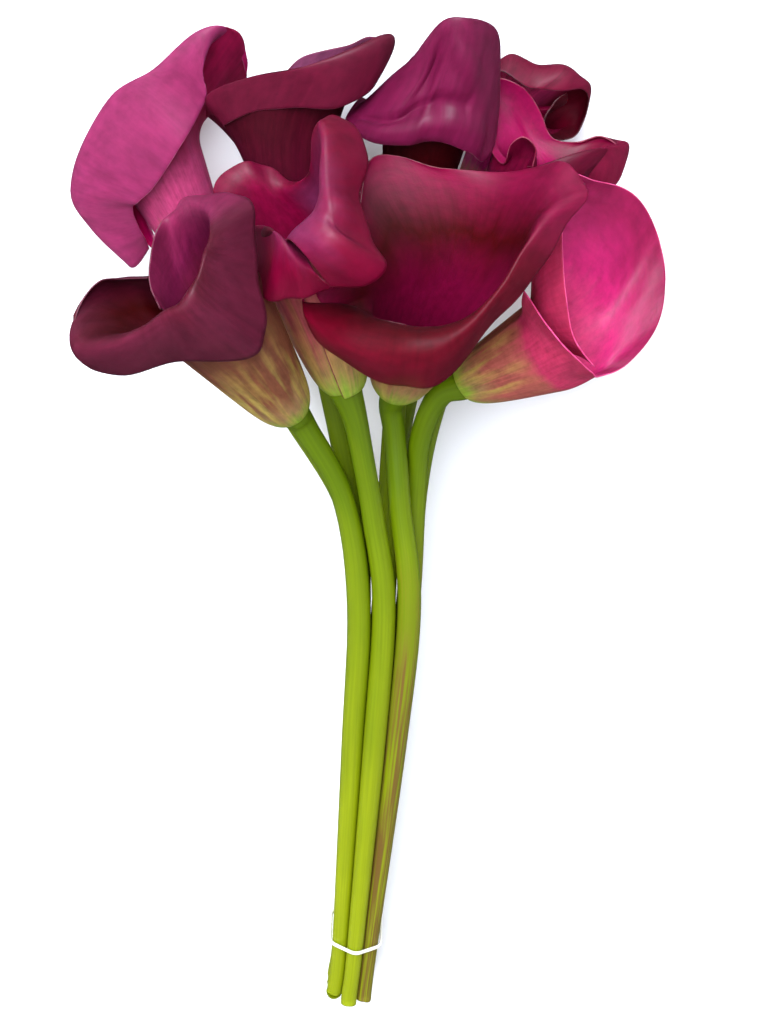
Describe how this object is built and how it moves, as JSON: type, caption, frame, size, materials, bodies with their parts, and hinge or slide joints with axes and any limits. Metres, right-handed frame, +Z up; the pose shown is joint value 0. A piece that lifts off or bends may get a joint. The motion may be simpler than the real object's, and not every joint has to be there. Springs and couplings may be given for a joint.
{
  "type": "tied bunch of calla lilies",
  "caption": "Tied bunch of small calla lilies in deep burgundy and magenta, lying down, with green stems held by a white rubber band near the cut ends.",
  "frame": {"origin": "middle of the bunch's footprint on the surface it lies on", "axes": "+Y from the cut stem ends to the blooms, +Z up from the surface, +X to the right seen from above with the blooms away"},
  "size_m": [0.2148, 0.4151, 0.1695],
  "materials": {
    "crimson_spathe": "satin",
    "dark_spathe": "satin",
    "pink_spathe": "satin",
    "stem": "satin",
    "spadix": "matte",
    "rubber_band": "satin"
  },
  "bodies": {
    "root": {"stem_front": "stem", "spadix_front": "spadix", "spathe_front": "crimson_spathe", "stem_low_left": "stem", "spadix_low_left": "spadix", "spathe_low_left": "dark_spathe", "stem_middle": "stem", "spadix_middle": "spadix", "spathe_middle": "crimson_spathe", "stem_far_left": "stem", "spadix_far_left": "spadix", "spathe_far_left": "pink_spathe", "stem_upper_left": "stem", "spadix_upper_left": "spadix", "spathe_upper_left": "crimson_spathe", "stem_top": "stem", "spadix_top": "spadix", "spathe_top": "dark_spathe", "stem_right": "stem", "spadix_right": "spadix", "spathe_right": "pink_spathe", "stem_upper_right": "stem", "spadix_upper_right": "spadix", "spathe_upper_right": "crimson_spathe", "stem_inner_right": "stem", "spadix_inner_right": "spadix", "spathe_inner_right": "pink_spathe", "rubber_band": "rubber_band"}
  },
  "joints": []
}
